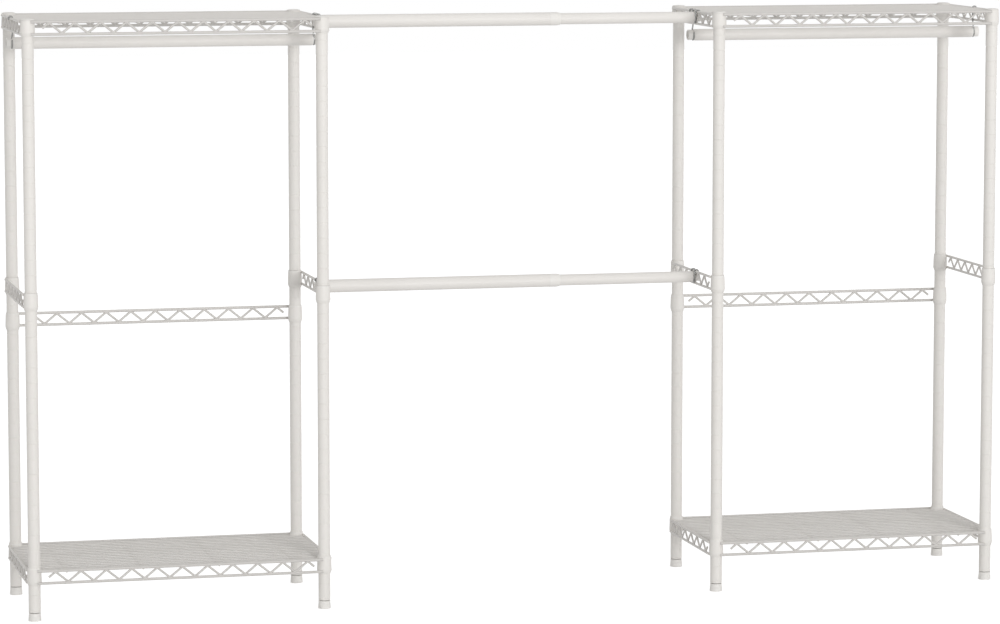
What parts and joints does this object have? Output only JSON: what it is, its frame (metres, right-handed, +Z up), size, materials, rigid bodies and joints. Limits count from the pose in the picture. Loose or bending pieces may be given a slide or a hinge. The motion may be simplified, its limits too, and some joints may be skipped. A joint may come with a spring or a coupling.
{
  "type": "open frame wardrobe",
  "caption": "Free-standing open wardrobe: wire shelf towers on grooved round posts, with hanging rods in each tower and telescopic hanging rods across the gap between them.",
  "frame": {"origin": "on the floor, under the middle of the whole wardrobe", "axes": "+X along the wardrobe to the right of someone facing it, +Y from the front to the back, +Z up"},
  "size_m": [3.078, 0.499, 1.8],
  "materials": {
    "coated_steel": "satin off-white powder coat",
    "white_plastic": "satin off-white moulded plastic"
  },
  "bodies": {
    "left_tower": {"left_front_outer_lower_post": "coated_steel", "left_front_outer_upper_post": "coated_steel", "left_front_outer_cap": "white_plastic", "left_front_inner_lower_post": "coated_steel", "left_front_inner_upper_post": "coated_steel", "left_front_inner_cap": "white_plastic", "left_back_outer_lower_post": "coated_steel", "left_back_outer_upper_post": "coated_steel", "left_back_outer_cap": "white_plastic", "left_back_inner_lower_post": "coated_steel", "left_back_inner_upper_post": "coated_steel", "left_back_inner_cap": "white_plastic", "left_top_shelf": "coated_steel", "left_bottom_shelf": "coated_steel", "left_back_ladder": "coated_steel", "left_tower_rod": "coated_steel", "left_outer_side_ladder": "coated_steel", "left_outer_tower_rod_hook": "coated_steel", "left_inner_side_ladder": "coated_steel", "left_inner_tower_rod_hook": "coated_steel", "left_upper_centre_hook": "coated_steel", "left_lower_centre_hook": "coated_steel", "upper_centre_outer_tube": "coated_steel", "upper_centre_end_ring": "white_plastic", "lower_centre_outer_tube": "coated_steel", "lower_centre_end_ring": "white_plastic"},
    "right_tower": {"right_front_outer_lower_post": "coated_steel", "right_front_outer_upper_post": "coated_steel", "right_front_outer_cap": "white_plastic", "right_front_inner_lower_post": "coated_steel", "right_front_inner_upper_post": "coated_steel", "right_front_inner_cap": "white_plastic", "right_back_outer_lower_post": "coated_steel", "right_back_outer_upper_post": "coated_steel", "right_back_outer_cap": "white_plastic", "right_back_inner_lower_post": "coated_steel", "right_back_inner_upper_post": "coated_steel", "right_back_inner_cap": "white_plastic", "right_top_shelf": "coated_steel", "right_bottom_shelf": "coated_steel", "right_back_ladder": "coated_steel", "right_tower_rod": "coated_steel", "right_outer_side_ladder": "coated_steel", "right_outer_tower_rod_hook": "coated_steel", "right_inner_side_ladder": "coated_steel", "right_inner_tower_rod_hook": "coated_steel", "right_upper_centre_hook": "coated_steel", "right_lower_centre_hook": "coated_steel", "upper_centre_inner_tube": "coated_steel", "lower_centre_inner_tube": "coated_steel"},
    "left_front_outer_foot": {"left_front_outer_foot": "white_plastic"},
    "left_front_inner_foot": {"left_front_inner_foot": "white_plastic"},
    "left_back_outer_foot": {"left_back_outer_foot": "white_plastic"},
    "left_back_inner_foot": {"left_back_inner_foot": "white_plastic"},
    "right_front_outer_foot": {"right_front_outer_foot": "white_plastic"},
    "right_front_inner_foot": {"right_front_inner_foot": "white_plastic"},
    "right_back_outer_foot": {"right_back_outer_foot": "white_plastic"},
    "right_back_inner_foot": {"right_back_inner_foot": "white_plastic"}
  },
  "joints": [
    {"name": "width_slide", "type": "slide", "parent": "left_tower", "child": "right_tower", "axis": [1, 0, 0], "range_m": [-0.38, 0.2]},
    {"name": "left_front_outer_foot_level", "type": "slide", "parent": "left_tower", "child": "left_front_outer_foot", "axis": [0, 0, -1], "range_m": [0, 0.012]},
    {"name": "left_front_inner_foot_level", "type": "slide", "parent": "left_tower", "child": "left_front_inner_foot", "axis": [0, 0, -1], "range_m": [0, 0.012]},
    {"name": "left_back_outer_foot_level", "type": "slide", "parent": "left_tower", "child": "left_back_outer_foot", "axis": [0, 0, -1], "range_m": [0, 0.012]},
    {"name": "left_back_inner_foot_level", "type": "slide", "parent": "left_tower", "child": "left_back_inner_foot", "axis": [0, 0, -1], "range_m": [0, 0.012]},
    {"name": "right_front_outer_foot_level", "type": "slide", "parent": "right_tower", "child": "right_front_outer_foot", "axis": [0, 0, -1], "range_m": [0, 0.012]},
    {"name": "right_front_inner_foot_level", "type": "slide", "parent": "right_tower", "child": "right_front_inner_foot", "axis": [0, 0, -1], "range_m": [0, 0.012]},
    {"name": "right_back_outer_foot_level", "type": "slide", "parent": "right_tower", "child": "right_back_outer_foot", "axis": [0, 0, -1], "range_m": [0, 0.012]},
    {"name": "right_back_inner_foot_level", "type": "slide", "parent": "right_tower", "child": "right_back_inner_foot", "axis": [0, 0, -1], "range_m": [0, 0.012]}
  ]
}
